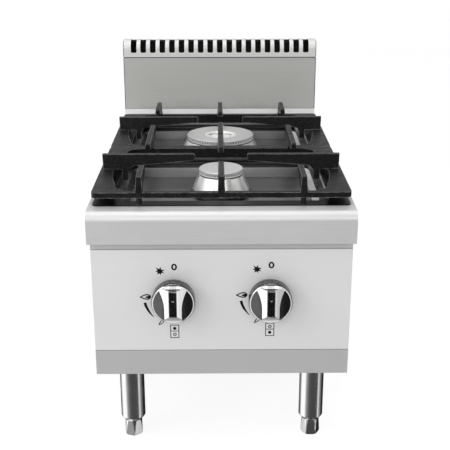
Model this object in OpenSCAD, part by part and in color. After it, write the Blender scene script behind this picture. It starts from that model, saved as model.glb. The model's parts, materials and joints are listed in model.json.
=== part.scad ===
// Two-burner gas hotplate, bench model, in millimetres.
// +X is the appliance's right-hand side seen from the front, +Y goes to the back, +Z is up.
// The origin lies on the bench, midway between the front of the knobs and the end of the gas inlet.

/* [Body] */
// Width of the top frame
top_w = 400; // [396:1:440]
// Depth from the rounded nose of the top frame to the back of the flue
top_d = 700; // [690:1:760]
// Height of the body from its underside to the deck
body_h = 268; // [262:1:300]
// Height of the body's underside above the bench
leg_h = 128; // [118:1:150]
// Thickness of the body's sheet steel
sheet = 1.5; // [1.2:0.1:2]
// How far the body's sides lie inside the top frame's sides
side_in = 4; // [3:0.5:7]
// How far the control panel lies behind the top frame's nose
panel_in = 8; // [6:0.5:12]
// How far the rear panel lies in front of the flue's back
rear_in = 4; // [3:0.5:8]

/* [Top frame] */
// Height of the fascia all round the top frame
fascia_h = 49; // [40:1:54]
// Radius of the rounded nose
nose_r = 14; // [8:1:18]
// Height of the sloped upstand at the foot of the flue
upstand_h = 20; // [14:1:26]
// How far the upstand slopes forward at its foot
upstand_d = 7; // [4:0.5:12]

/* [Control panel] */
// Height of the recessed band between the fascia and the control panel
band_h = 11; // [7:0.5:14]
// Height of the kick rail along the bottom of the front
kick_h = 41; // [34:1:48]
// Gap between the control panel and the kick rail
kick_gap = 0.8; // [0.5:0.1:2]
// Depth of the bent flanges on the body panels
flange_d = 14; // [10:1:18]
// Depth of the flange along the kick rail's lower edge
kick_flange = 8; // [5:0.5:9]
// Distance of each knob from the middle
knob_x = 73; // [66:1:90]
// Distance of the knobs below the control panel's upper edge
knob_down = 78.5; // [66:0.5:86]

/* [Flue] */
// Depth of the flue
flue_d = 75; // [70:1:84]
// Height of the flue above the deck
flue_h = 162; // [140:1:190]
// How far the flue's sides lie inside the top frame's sides
flue_in = 1; // [0.5:0.5:4]
// Height of the vent cover
cover_h = 34; // [30:1:44]
// Radius of the bend along the front of the vent cover
cover_r = 18; // [12:1:22]
// Depth of the cover's top before it slopes down
cover_flat = 27; // [23:1:36]
// How far the cover's top slopes down to its back
cover_drop = 12; // [4:1:16]
// Dark reveal between the flue's walls and the vent cover
reveal = 1.6; // [1:0.1:3]
// Number of vent slots
slot_n = 19; // [13:1:19]
// Distance from one vent slot to the next
slot_pitch = 19.7; // [18:0.1:20]
// Width of a vent slot
slot_w = 11.5; // [8:0.5:13]
// Height of the slots' lower ends above the cover's lower edge
slot_up = 9; // [6:0.5:12]
// How far the slots run back over the top
slot_back = 36; // [24:1:44]
// Radius of a slot's lower corners
slot_r = 3; // [1:0.5:4]

/* [Legs] */
// Radius of a leg tube
leg_r = 19.5; // [17:0.5:21]
// Distance of a leg's axis from the body's side
leg_in_x = 51; // [50:1:60]
// Distance of a leg's axis from the front or back of the body
leg_in_y = 40; // [40:1:60]
// Height of the foot's hexagonal part
foot_h = 27; // [24:1:36]
// Radius of the foot across its corners
foot_r = 15.5; // [13:0.5:17]
// Chamfer round the foot's underside
foot_edge = 1.5; // [1:0.25:2.5]
// Height of the foot's straight part, below its long cone
foot_low = 4; // [3:0.5:8]
// How far the left feet are turned about their screws
foot_turn = 20; // [0:1:30]
// Radius of the foot's screw
foot_screw_r = 8; // [6:0.5:9]
// Length of the foot's screw inside the tube
foot_screw_l = 48; // [40:1:60]
// Length of the screwed collar at the tube's lower end
collar_l = 18; // [12:1:20]
// Height of the tube's drawn-in lower end
leg_taper = 7; // [4:0.5:9]
// Side of the square mounting plate
leg_plate = 62; // [58:1:64]
// Distance between the bolts of one leg
leg_bolt = 46; // [44:1:46]

/* [Grates] */
// How far the grates' sides lie inside the top frame's sides
grate_in = 5.5; // [4:0.5:9]
// Distance from the nose to the front grate
grate_front = 33; // [30:1:40]
// Distance from the rear grate to the flue
grate_back = 53; // [44:1:60]
// Gap between the two grates
grate_gap = 2; // [1:0.5:4]
// Thickness of the grates' outer frame
bar_t = 8.5; // [7:0.5:10]
// Height of the frame's underside above the deck
bar_up = 12.5; // [11:0.5:15]
// Width of the front and back bars
bar_w = 9; // [8:0.5:12]
// Width of the side bars at their narrowest
side_bar_w = 21; // [18:1:26]
// Width of the side bars next to the corners
side_bar_end = 32; // [28:1:38]
// Radius of the opening's corners
grate_round = 30; // [20:1:36]
// Radius of the frame's outer corners
grate_corner = 8; // [4:1:12]
// Height of the fingers' tops above the deck
finger_top = 45; // [43:1:50]
// Distance of the long fingers' tips from the burner's middle
finger_tip = 42; // [40:1:50]
// Height of a finger at its tip
tip_h = 10.5; // [8:0.5:12]
// Height of a finger where its taper starts
root_h = 18.5; // [16:0.5:20]
// Thickness of a finger along its top
finger_top_t = 8; // [5:0.5:9]
// Thickness of a finger at the frame
finger_foot_t = 14; // [10:0.5:15]
// Distance of the short fingers from the middle
rib_x = 123; // [110:1:128]
// Length of the short fingers
rib_l = 70; // [55:1:80]
// Distance of the locating lug from the side bar
lug_gap = 14; // [10:1:16]
// Width of the locating lug
lug_w = 10; // [8:0.5:12]
// Height of the lug's end above the deck
lug_up = 3; // [2:0.5:6]
// Radius of the grate's feet
peg_r = 4.2; // [3.5:0.1:4.5]
// Distance of the grate's feet from their tray's edge
peg_in = 0.4; // [0.2:0.1:1]
// Height of the web under the back bar above the deck
web_up = 3.5; // [2.5:0.5:6]
// Thickness of the web under the back bar
web_t = 5; // [4:0.5:6]

/* [Spill trays] */
// Thickness of the pressed trays
tray_t = 1.2; // [1:0.1:1.5]
// Distance from a grate's side to its tray's cut-out, along X
tray_in_x = 26.5; // [24:0.5:32]
// Distance from a grate's edge to its tray's cut-out, along Y
tray_in_y = 20; // [19:0.5:24]
// How far the trays' flanges end inside the grates' edges
flange_in = 0.5; // [0.3:0.1:1.5]
// Clearance round a tray in its cut-out
tray_clear = 1; // [0.6:0.1:1.6]
// Depth of the tray's upper step
step_d = 8; // [6:0.5:10]
// Width of the ledge between the upper step and the well
ledge_w = 14; // [10:1:18]
// Depth of the tray's floor below the deck
well_d = 23; // [20:1:26]
// How far the well's walls slope inwards
well_slope = 6; // [3:1:9]
// Radius of the tray's corners
tray_round = 22; // [16:1:28]
// Height of the collar round the hole in the tray's floor
tray_collar = 6; // [4:0.5:7]

/* [Front burner] */
// Radius of the front cap
cap_f_r = 36; // [34:0.5:38]
// Height of the front cap's top above the deck
cap_f_up = 21.5; // [19:0.5:24]
// Radius of the front base at the tray
base_f_r = 50; // [48:0.5:54]
// Number of flame ports in the front head
ports_f = 60; // [36:1:64]

/* [Rear burner] */
// Room between the rear base and the foot of the tray's walls
base_r_room = 17; // [15.5:0.5:22]
// How far the rear cap lies inside its base
cap_r_in = 12; // [10:0.5:15]
// Share of the rear cap's radius that its dish takes
dish_share = 0.56; // [0.5:0.005:0.58]
// Width of the dish's sloped edge
dish_edge = 8; // [7:0.5:9]
// Depth of the dish
dish_d = 4; // [3.5:0.25:5]
// Height of the rear cap's top above the deck
cap_r_up = 12; // [11:0.5:14]
// Distance of the gas passage's middle from the rear base's edge
throat_in = 30; // [28:0.5:31]
// Number of flame ports in the rear head
ports_r = 72; // [48:1:80]

/* [Burner parts] */
// Thickness of a burner cap's edge
cap_t = 3.5; // [3:0.25:5]
// Height of a ported head
head_h = 6.5; // [6:0.5:10]
// Height of the dark groove under a head
groove_h = 1.5; // [1:0.25:2.5]
// Width of a flame port
port_w = 1.8; // [1.2:0.1:2.2]
// Height of a flame port
port_h = 2.2; // [1.8:0.1:2.8]
// Distance of the flame ports below the cap
port_down = 0.6; // [0.4:0.1:1.5]
// Wall of a burner casting
cast_t = 4; // [3:0.5:5]
// Radius of the gas passage in a burner
throat_r = 13; // [11:0.5:15]
// Clearance between lift-off burner pieces
lift_clear = 0.3; // [0.2:0.05:0.5]
// Wall of a mixing tube
mix_t = 3; // [2.5:0.5:3.5]
// Radius of a mixing tube's mouth
mouth_r = 19; // [18:0.5:19.5]
// Length of a mixing tube's mouth
mouth_l = 26; // [20:1:30]

/* [Frame under the trays] */
// Depth of the burner rails below the deck
rail_down = 56; // [54:1:58]
// Width of a burner rail
rail_w = 50; // [46:1:56]
// Height of a burner rail's flanges
rail_h = 8; // [6:0.5:9]
// Distance of the heat shield behind the control panel
shield_back = 115; // [112:1:120]
// Depth of the heat shield's top below the deck
shield_down = 30; // [28:1:40]

/* [Gas train] */
// Distance of the manifold pipe behind the control panel
pipe_back = 56; // [54:1:58]
// Radius of the manifold pipe
pipe_r = 10.7; // [10:0.1:11]
// Distance of the supply pipe from the body's right side
pipe_in = 46; // [38:1:54]
// Distance of the mixing tubes' mouths behind the control panel
mouth_back = 95; // [92:1:98]
// Radius of the inlet's thread
inlet_r = 13.2; // [12:0.1:14]
// Length of the inlet's thread
inlet_l = 20; // [16:1:24]
// Projection of the inlet behind the flue's back
inlet_out = 22; // [20:1:30]
// Radius of the supply tubes
tube_r = 4; // [3:0.25:4.5]
// Gap between supply tubes, or a tube and a pipe, that cross
tube_gap = 4; // [3:0.5:5]
// Radius of the nuts on the supply tubes
nut_r = 7.5; // [7:0.5:8.5]
// Height of the nuts on the supply tubes
nut_h = 8; // [6:0.5:9]
// Length of an injector in front of its mixing tube
injector_l = 14; // [12:0.5:16]
// Clearance in fixed fittings
fit_clear = 0.1; // [0.05:0.05:0.3]

/* [Valves and knobs] */
// Width of a valve's body
valve_w = 30; // [26:1:34]
// Height of a valve's body
valve_h = 34; // [32:1:38]
// Length of a valve's outlet
outlet_l = 4; // [3:0.5:6]
// Depth of the clamp behind the manifold pipe
clamp_d = 15; // [13.5:0.5:18]
// Radius of a valve stem
stem_r = 4; // [3.5:0.1:4.5]
// Running clearance round a valve stem and its push rod
run_clear = 0.05; // [0.03:0.01:0.08]
// Travel of a knob when it is pushed in
push = 4; // [3:0.5:4.5]
// Depth of a valve stem's inner end behind the panel's face
stem_in = 26; // [24:1:28]
// Radius of the push rod behind a valve stem
rod_r = 1.5; // [1.2:0.1:2]
// Length of the push rod
rod_l = 10; // [8:1:12]
// Gap between a knob and the panel
knob_gap = 5; // [4.9:0.1:7]
// Radius of a knob
knob_r = 33; // [30:0.5:35]
// Height of a knob's skirt
skirt_h = 18; // [15:0.5:20]
// Height of a knob's grip above its skirt
grip_h = 12; // [9:0.5:14]
// Width of a knob's grip at its narrow end
grip_w = 26; // [24:0.5:28]
// Width of a knob's grip at its flared end
grip_wide = 43; // [40:0.5:46]
// Width of the flat strip along the grip's top
grip_top = 11; // [9:0.5:14]
// Radius of the flares at the grip's sides
flare_r = 62; // [52:1:72]
// Length of the slope at the grip's lower end
grip_slope = 13; // [9:0.5:16]
// Width of the recess above the grip's flared end
crescent = 4; // [3:0.5:8]
// Width of a knob's rim round its inserts
rim_w = 3.2; // [2:0.2:4]
// Thickness of the dark inserts
insert_t = 1.2; // [0.8:0.1:1.6]

/* [Ignition] */
// Radius of a spark electrode's ceramic
spark_r = 3.2; // [2.6:0.1:3.6]
// Distance of the electrode and thermocouple from a burner's base
spark_off = 7; // [6:0.5:8]
// Distance of the electrode to the right of the burner's middle
spark_x = 4.5; // [3:0.5:9]
// Distance between the electrode and the thermocouple
probe_gap = 20; // [18:1:26]
// Length of the electrode and thermocouple below the tray
probe_below = 16; // [12:1:20]

/* [Hidden] */
$fn = 64;

// Main planes. The knobs reach in front of the nose, and the inlet behind the flue.
knob_out = knob_gap + skirt_h + grip_h;
knob_reach = knob_out - panel_in;
front_y = -(top_d + knob_reach + inlet_out) / 2 + knob_reach;
back_y = front_y + top_d;
flue_y = back_y - flue_d;
panel_y = front_y + panel_in;
in_y = panel_y + sheet;
rear_y = back_y - rear_in;
in_rear = rear_y - sheet;
body_w = top_w - 2 * side_in;
in_x = body_w / 2 - sheet;
flue_w = top_w - 2 * flue_in;
deck = leg_h + body_h;
pan_top = leg_h + 2 * sheet;
panel_top = deck - fascia_h - band_h;
panel_low = leg_h + kick_h + kick_gap;
knob_z = panel_top - knob_down;
pipe_x = body_w / 2 - pipe_in;

// Grates and burners share their middles.
grate_w = top_w - 2 * grate_in;
grate_d = (flue_y - grate_back - front_y - grate_front - grate_gap) / 2;
burner_f = front_y + grate_front + grate_d / 2;
burner_r = burner_f + grate_d + grate_gap;
bar_top = bar_up + bar_t;
open_x = grate_w / 2 - tray_in_x;
open_y = grate_d / 2 - tray_in_y;

// Levels of the burner pieces, above the deck
head_f_top = cap_f_up - cap_t;
head_f_low = head_f_top - head_h;
head_r_top = cap_r_up - cap_t;
head_r_low = head_r_top - head_h;
tray_floor = -well_d + tray_t;
well_foot_y = open_y - tray_clear - tray_t - ledge_w - well_slope;
base_r_r = well_foot_y - base_r_room;
cap_r_r = base_r_r - cap_r_in;
dish_r = dish_share * cap_r_r;
cap_r_hole = dish_r - dish_edge;
throat_off = base_r_r - throat_in;
throat_out = throat_r + mix_t;
throat_r_y = burner_r - throat_off;
mouth_y = panel_y + mouth_back;
pipe_y = panel_y + pipe_back;

// Levels of the gas train: valve outlets, the left tube's crossing and both mixing tubes
outlet_z = knob_z + valve_h / 2 + outlet_l;
cross_z = outlet_z + nut_h + tube_r + 2;
mix_f_z = cross_z + 2 * tube_r + tube_gap;
mix_r_z = knob_z - pipe_r - tube_gap - tube_r;

// Legs
leg_x = body_w / 2 - leg_in_x;
leg_front_y = panel_y + leg_in_y;
leg_rear_y = rear_y - leg_in_y;

steel = [0.72, 0.73, 0.74];
light_steel = [0.83, 0.83, 0.83];
dark_steel = [0.32, 0.33, 0.34];
iron = [0.12, 0.12, 0.12];
alloy = [0.7, 0.7, 0.68];
brass = [0.78, 0.6, 0.25];
chrome = [0.85, 0.86, 0.88];
dark = [0.1, 0.1, 0.1];

// A box from its lowest to its highest values
module block(x, y, z) {
  translate([x[0], y[0], z[0]])
    cube([x[1] - x[0], y[1] - y[0], z[1] - z[0]]);
}

// A (y, z) outline drawn out along X, half to each side
module along_x(w) {
  translate([-w / 2, 0, 0]) rotate([90, 0, 90]) linear_extrude(w) children();
}

// An (x, z) outline drawn out along Y
module along_y(y0, y1) {
  translate([0, y1, 0]) rotate([90, 0, 0]) linear_extrude(y1 - y0) children();
}

// A cylinder along Y
module rod_y(r, y0, y1) {
  translate([0, y0, 0]) rotate([-90, 0, 0]) cylinder(r = r, h = y1 - y0);
}

// A cylinder along X
module rod_x(r, x0, x1) {
  translate([x0, 0, 0]) rotate([0, 90, 0]) cylinder(r = r, h = x1 - x0);
}

module round_rect(w, d, r) {
  square([w - 2 * r, d], center = true);
  square([w, d - 2 * r], center = true);
  for (sx = [-1, 1], sy = [-1, 1])
    translate([sx * (w / 2 - r), sy * (d / 2 - r)]) circle(r);
}

function arc(cx, cy, r, a0, a1, n) =
  [for (i = [0 : n]) let (a = a0 + (a1 - a0) * i / n) [cx + r * cos(a), cy + r * sin(a)]];

// Top frame: a folded sheet with a rounded nose, cut out for the trays and the flue
module nose_profile(t) {
  translate([front_y + nose_r, deck - fascia_h + t])
    square([top_d - nose_r - t, fascia_h - 2 * t]);
  translate([front_y + t, deck - fascia_h + t])
    square([nose_r, fascia_h - nose_r - t]);
  translate([front_y + nose_r, deck - nose_r]) circle(nose_r - t);
}

module tray_cutout(yc) {
  translate([0, yc, deck - 2 * sheet]) linear_extrude(4 * sheet)
    round_rect(2 * open_x, 2 * open_y, tray_round);
}

module top_frame() {
  flue_hole = [flue_w / 2 - 12, flue_y + 10, back_y - 12];
  color(steel) {
    difference() {
      along_x(top_w) nose_profile(0);
      along_x(top_w - 2 * sheet) nose_profile(sheet);
      block([-body_w / 2, body_w / 2], [in_y, rear_y], [deck - fascia_h - 1, deck - fascia_h + 2 * sheet]);
      tray_cutout(burner_f);
      tray_cutout(burner_r);
      block([-flue_hole[0], flue_hole[0]], [flue_hole[1], flue_hole[2]], [deck - 2 * sheet, deck + sheet]);
    }
    along_x(flue_w) polygon([
      [flue_y - upstand_d, deck], [flue_y, deck],
      [flue_y, deck + upstand_h], [flue_y - sheet, deck + upstand_h]
    ]);
  }
}

// Body panels. The side panels' rear flanges take the rear panel's screws.
screw_r = 2;
screw_clear = 0.2;
screw_l = 8;
screw_inset = 8;
screw_head_r = 4.5;
screw_head_h = 2;

module at_rear_screws() {
  for (sx = [-1, 1], z = [leg_h + 2 * screw_inset, knob_z, deck - fascia_h - screw_inset])
    translate([sx * (body_w / 2 - screw_inset), rear_y, z]) rotate([-90, 0, 0]) children();
}

module side_panel(s) {
  inner = in_x - flange_d;
  color(steel) difference() {
    union() {
      translate([s * (body_w - sheet) / 2, 0, 0]) along_x(sheet) polygon([
        [in_y, leg_h], [in_rear, leg_h], [in_rear, deck - sheet],
        [in_y + nose_r, deck - sheet], [in_y, deck - nose_r]
      ]);
      block(s > 0 ? [inner, in_x] : [-in_x, -inner], [in_y, in_rear], [leg_h, leg_h + sheet]);
      block(s > 0 ? [inner, in_x] : [-in_x, -inner], [in_rear - sheet, in_rear], [pan_top, deck - fascia_h]);
    }
    at_rear_screws() translate([0, 0, -3 * sheet])
      cylinder(r = screw_r + screw_clear, h = 3 * sheet);
  }
}

module side_panel_left() { side_panel(-1); }
module side_panel_right() { side_panel(1); }

module at_legs() {
  for (sx = [-1, 1], y = [leg_front_y, leg_rear_y])
    translate([sx * leg_x, y, 0]) children();
}

module at_leg_bolts() {
  for (sx = [-1, 1], sy = [-1, 1])
    translate([sx * leg_bolt / 2, sy * leg_bolt / 2, 0]) children();
}

bolt_r = 3;
bolt_clear = 0.4;
bolt_head_r = 5.5;
bolt_head_h = 4;

module base_pan() {
  slot_len = 90;
  slot_wide = 10;
  slot_step = 26;
  color(steel) difference() {
    block([-in_x, in_x], [in_y, in_rear], [leg_h + sheet, pan_top]);
    at_legs() at_leg_bolts()
      translate([0, 0, leg_h]) cylinder(r = bolt_r + bolt_clear, h = 3 * sheet);
    for (sx = [-1, 1], i = [-4 : 4])
      translate([sx * slot_len * 0.75, i * slot_step, leg_h]) linear_extrude(3 * sheet)
        round_rect(slot_len, slot_wide, slot_wide / 2 - 0.01);
  }
}

module kick_rail() {
  inner = in_x - flange_d - 1;
  color(steel) {
    block([-body_w / 2, body_w / 2], [panel_y, in_y], [leg_h, leg_h + kick_h]);
    block([-inner, inner], [in_y, in_y + kick_flange], [leg_h, leg_h + sheet]);
    block([-inner, inner], [in_y, in_y + flange_d], [leg_h + kick_h - sheet, leg_h + kick_h]);
  }
}

// The rail behind the recessed band, lapped by the control panel's top edge
module front_cross_rail() {
  lap = 20;
  color(steel) {
    block([-in_x, in_x], [in_y, in_y + sheet], [panel_top - lap, deck - nose_r]);
    block([-in_x, in_x], [in_y + sheet, in_y + flange_d], [panel_top - lap, panel_top - lap + sheet]);
  }
}

module control_panel() {
  stem_hole = stem_r + 2;
  color(light_steel) difference() {
    union() {
      block([-body_w / 2, body_w / 2], [panel_y, in_y], [panel_low, panel_top]);
      block([-in_x + 1, in_x - 1], [in_y, in_y + flange_d], [panel_low, panel_low + sheet]);
    }
    for (s = [-1, 1])
      translate([s * knob_x, 0, knob_z]) rod_y(stem_hole, panel_y - 1, in_y + 1);
  }
}

vent_rows = 3;
vent_cols = 4;
vent_l = 60;
vent_w = 7;
vent_down = 22;

module rear_panel() {
  color(steel) difference() {
    block([-body_w / 2, body_w / 2], [in_rear, rear_y], [leg_h, deck - sheet]);
    translate([pipe_x, 0, knob_z]) rod_y(inlet_r + 1.5, in_rear - 1, rear_y + 1);
    for (i = [0 : vent_cols - 1], j = [0 : vent_rows - 1])
      translate([(i - (vent_cols - 1) / 2) * (vent_l + 16), 0, deck - fascia_h - vent_down - j * 3 * vent_w])
        along_y(in_rear - 1, rear_y + 1) round_rect(vent_l, vent_w, vent_w / 2 - 0.01);
    at_rear_screws() translate([0, 0, -2 * sheet])
      cylinder(r = screw_r + screw_clear, h = 3 * sheet);
  }
}

module rear_screws() {
  color(chrome) at_rear_screws() {
    cylinder(r1 = screw_head_r, r2 = screw_head_r * 0.7, h = screw_head_h);
    translate([0, 0, -screw_l]) cylinder(r = screw_r, h = screw_l + 0.1);
  }
}

// Flue: a front panel, a U-shaped shell behind it and a slotted cover
seam = deck + flue_h - cover_h - reveal;
lip_h = 8;

module flue_front() {
  color(steel) {
    block([-flue_w / 2, flue_w / 2], [flue_y, flue_y + sheet], [deck, seam]);
    block([-flue_w / 2 + sheet, flue_w / 2 - sheet], [flue_y + sheet, flue_y + 2 * sheet],
          [seam - lip_h, seam + lip_h]);
    block([-flue_w / 2 + 2 * sheet, flue_w / 2 - 2 * sheet], [flue_y + sheet, flue_y + 9],
          [deck, deck + sheet]);
  }
}

module flue_shell() {
  x0 = flue_w / 2 - sheet;
  y0 = flue_y + sheet;
  y1 = back_y - sheet;
  color(steel) {
    for (s = [-1, 1]) {
      block(s > 0 ? [x0, flue_w / 2] : [-flue_w / 2, -x0], [y0, back_y], [deck, seam]);
      block(s > 0 ? [x0 - sheet, x0] : [-x0, sheet - x0], [y0 + sheet, y1], [seam - lip_h, seam + lip_h]);
    }
    block([-x0, x0], [y1, back_y], [deck, seam]);
    block([sheet - x0, x0 - sheet], [y1 - sheet, y1], [seam - lip_h, seam + lip_h]);
  }
}

module cover_profile(t) {
  low = seam + reveal;
  top = deck + flue_h;
  translate([flue_y + t, low - t]) square([cover_r - t, cover_h - cover_r + t]);
  intersection() {
    translate([flue_y + cover_r, top - cover_r]) circle(cover_r - t);
    translate([flue_y, top - cover_r]) square(cover_r);
  }
  polygon([
    [flue_y + cover_r, low - t], [back_y - t, low - t], [back_y - t, top - cover_drop - t],
    [flue_y + cover_flat, top - t], [flue_y + cover_r, top - t]
  ]);
}

module vent_cover() {
  low = seam + reveal;
  color(light_steel) difference() {
    along_x(flue_w) cover_profile(0);
    along_x(flue_w - 2 * sheet) cover_profile(sheet);
    for (i = [0 : slot_n - 1])
      translate([(i - (slot_n - 1) / 2) * slot_pitch, 0, 0]) {
        along_y(flue_y - 1, flue_y + slot_back) {
          translate([-slot_w / 2, low + slot_up + slot_r]) square([slot_w, cover_h]);
          translate([slot_r - slot_w / 2, low + slot_up]) square([slot_w - 2 * slot_r, slot_r]);
          for (s = [-1, 1])
            translate([s * (slot_w / 2 - slot_r), low + slot_up + slot_r]) circle(slot_r, $fn = 24);
        }
      }
  }
}

// Legs: a tube with a drawn-in end and a square plate, and a foot that screws into it
foot_top_r = foot_r * cos(30) + 0.3;
neck_r = foot_top_r + 0.7;
tube_wall = 2;

module leg(sx, y) {
  color(chrome) translate([sx * leg_x, y, 0]) {
    rotate_extrude() polygon([
      [foot_screw_r + run_clear, foot_h], [neck_r, foot_h],
      [leg_r, foot_h + leg_taper], [leg_r, leg_h + sheet / 2],
      [leg_r - tube_wall, leg_h + sheet / 2], [leg_r - tube_wall, foot_h + collar_l],
      [foot_screw_r + run_clear, foot_h + collar_l]
    ]);
    difference() {
      block([-leg_plate / 2, leg_plate / 2], [-leg_plate / 2 + 2, leg_plate / 2], [leg_h, leg_h + sheet]);
      at_leg_bolts() translate([0, 0, leg_h - 1])
        cylinder(r = bolt_r + bolt_clear, h = sheet + 2);
    }
  }
}

module leg_front_left() { leg(-1, leg_front_y); }
module leg_front_right() { leg(1, leg_front_y); }
module leg_rear_left() { leg(-1, leg_rear_y); }
module leg_rear_right() { leg(1, leg_rear_y); }

// A long cone rounds the hexagon's corners, so that each flat ends in an arch.
module foot(sx, y) {
  color(chrome) translate([sx * leg_x, y, 0]) {
    rotate([0, 0, sx < 0 ? -foot_turn : 0]) intersection() {
      cylinder(r = foot_r, h = foot_h, $fn = 6);
      rotate_extrude() polygon([
        [0, 0], [foot_r - foot_edge, 0], [foot_r, foot_edge], [foot_r, foot_low],
        [foot_top_r, foot_h], [0, foot_h]
      ]);
    }
    cylinder(r = foot_screw_r, h = foot_h + foot_screw_l);
  }
}

module foot_front_left() { foot(-1, leg_front_y); }
module foot_front_right() { foot(1, leg_front_y); }
module foot_rear_left() { foot(-1, leg_rear_y); }
module foot_rear_right() { foot(1, leg_rear_y); }

module leg_bolts() {
  color(chrome) at_legs() at_leg_bolts() {
    translate([0, 0, leg_h - bolt_head_h]) cylinder(r = bolt_head_r, h = bolt_head_h, $fn = 6);
    translate([0, 0, leg_h - 1]) cylinder(r = bolt_r, h = 2 * sheet + 1 + bolt_head_h);
    translate([0, 0, pan_top]) cylinder(r = bolt_head_r, h = bolt_head_h, $fn = 6);
  }
}

// Spill trays: a flange on the deck, a step, a ledge and a well with sloping walls
module well(grow) {
  top_x = open_x - tray_clear - ledge_w - tray_t + grow;
  top_y = open_y - tray_clear - ledge_w - tray_t + grow;
  r = tray_round - 4;
  hull()
    for (sx = [-1, 1], sy = [-1, 1])
      translate([sx * (top_x - r), sy * (top_y - r), -well_d + tray_t - grow])
        cylinder(r1 = r - well_slope, r2 = r, h = well_d - step_d + (grow > 0 ? 0 : 0.1), $fn = 32);
}

module spill_tray(yc, hole_r, probe_y) {
  collar_r = hole_r + tray_t;
  color(dark_steel) translate([0, yc, deck]) difference() {
    union() {
      linear_extrude(tray_t)
        round_rect(grate_w - 2 * flange_in, grate_d - 2 * flange_in, grate_corner);
      translate([0, 0, -step_d]) linear_extrude(step_d)
        round_rect(2 * (open_x - tray_clear), 2 * (open_y - tray_clear), tray_round - tray_clear);
      well(tray_t);
    }
    translate([0, 0, tray_t - step_d]) linear_extrude(step_d + 1)
      round_rect(2 * (open_x - tray_clear - tray_t), 2 * (open_y - tray_clear - tray_t),
                 tray_round - tray_clear - tray_t);
    well(0);
    translate([0, 0, -well_d - 1]) cylinder(r = hole_r, h = 4);
    for (x = [spark_x - probe_gap, spark_x])
      translate([x, probe_y, -well_d - 1]) cylinder(r = spark_r + 0.6, h = 4);
  }
  color(dark_steel) translate([0, yc, deck - well_d]) difference() {
    cylinder(r = collar_r, h = tray_collar);
    translate([0, 0, -1]) cylinder(r = hole_r, h = tray_collar + 2);
  }
}

hole_f_r = base_f_r - cast_t - 8;
hole_r_r = base_r_r - cast_t - 8;
module spill_tray_front() { spill_tray(burner_f, hole_f_r, base_f_r + spark_off); }
module spill_tray_rear() { spill_tray(burner_r, hole_r_r, base_r_r + spark_off); }

// Grates: cast frame, four long tapered fingers, four short ones, lugs, feet and a web at the back
module grate_opening() {
  half_x = grate_w / 2;
  half_y = grate_d / 2;
  bulge = side_bar_end - side_bar_w;
  span = half_y - bar_w - 34;
  big_r = (span * span + bulge * bulge) / (2 * bulge);
  round_rect(2 * (half_x - side_bar_end), 2 * (half_y - bar_w), grate_round);
  for (s = [-1, 1])
    intersection() {
      translate([s * (half_x - side_bar_w - big_r), 0]) circle(big_r, $fn = 160);
      translate([s * (half_x - side_bar_end), 0]) square([3 * bulge, 2 * span], center = true);
    }
}

// Outline of a finger, from its tip at (tip, 0) out to its root, heights above the deck
function finger_outline(tip, root_in, root_out, arch) = concat(
  arc(tip + 3, finger_top - 3, 3, 180, 90, 3),
  [[root_out - 2, finger_top], [root_out, bar_top], [root_out, bar_up], [root_in, bar_up]],
  arc(root_in - arch, finger_top - root_h - arch, arch, 0, 90, 5),
  arc(tip + 3, finger_top - tip_h + 3, 3, 270, 180, 3)
);

// The same with the locating lug inside the side bar
function lug_outline(tip, root_in, root_out, arch) =
  let (lug_out = root_in - lug_gap, lug_in = lug_out - lug_w) concat(
    arc(tip + 3, finger_top - 3, 3, 180, 90, 3),
    [[root_out - 3, finger_top], [root_out - 4, bar_top], [root_out - 4, bar_up], [root_in, bar_up],
     [root_in, bar_top - 0.5], [lug_out, bar_top - 0.5], [lug_out, lug_up + 1.5],
     [lug_out - 1.5, lug_up], [lug_in + 1.5, lug_up], [lug_in, lug_up + 1.5]],
    arc(lug_in - arch, finger_top - root_h - arch, arch, 0, 90, 6),
    arc(tip + 3, finger_top - tip_h + 3, 3, 270, 180, 3)
  );

// A finger along +Y, thinner along its top than at its foot
module finger(outline, reach) {
  intersection() {
    rotate([90, 0, 90]) translate([0, 0, -finger_foot_t]) linear_extrude(2 * finger_foot_t)
      polygon(outline);
    along_y(0, reach) polygon([
      [-finger_foot_t / 2, lug_up], [finger_foot_t / 2, lug_up],
      [finger_top_t / 2, finger_top], [-finger_top_t / 2, finger_top]
    ]);
  }
}

module grate(yc) {
  half_x = grate_w / 2;
  half_y = grate_d / 2;
  web_x = half_x - side_bar_end;
  peg_y = half_y - flange_in - peg_in - peg_r;
  color(iron) translate([0, yc, deck]) {
    translate([0, 0, bar_up]) linear_extrude(bar_t) difference() {
      round_rect(grate_w, grate_d, grate_corner);
      grate_opening();
    }
    block([-web_x, web_x], [half_y - bar_w, half_y - bar_w + web_t], [web_up, bar_up + 1]);
    for (a = [0, 180]) rotate([0, 0, a]) {
      finger(finger_outline(finger_tip, half_y - bar_w, half_y, 8), half_y);
      for (s = [-1, 1]) translate([s * rib_x, 0, 0]) {
        finger(finger_outline(half_y - rib_l, half_y - bar_w, half_y, 8), half_y);
        translate([0, peg_y, tray_t]) cylinder(r = peg_r, h = bar_up + 1 - tray_t);
      }
      rotate([0, 0, 90])
        finger(lug_outline(finger_tip, half_x - side_bar_w + 0.5, half_x, 13), half_x);
    }
  }
}

module grate_front() { grate(burner_f); }
module grate_rear() { grate(burner_r); }

// Burners. Each base stands on its tray's floor, and its throat on the burner rail.
module burner_base_front() {
  top_r = cap_f_r + 1;
  z_low = -rail_down - sheet - 4;
  color(alloy) translate([0, burner_f, deck]) rotate_extrude() polygon([
    [throat_r, z_low], [throat_out, z_low], [throat_out, -rail_down], [throat_out + 4, -rail_down],
    [throat_out + 4, 4 - rail_down], [throat_out, 4 - rail_down], [throat_out, head_f_low - cast_t],
    [top_r - cast_t, head_f_low - cast_t], [base_f_r - cast_t, tray_floor], [base_f_r, tray_floor],
    [base_f_r, tray_floor + 2], [top_r, head_f_low - 1], [top_r - 1, head_f_low], [throat_r, head_f_low]
  ]);
}

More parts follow.
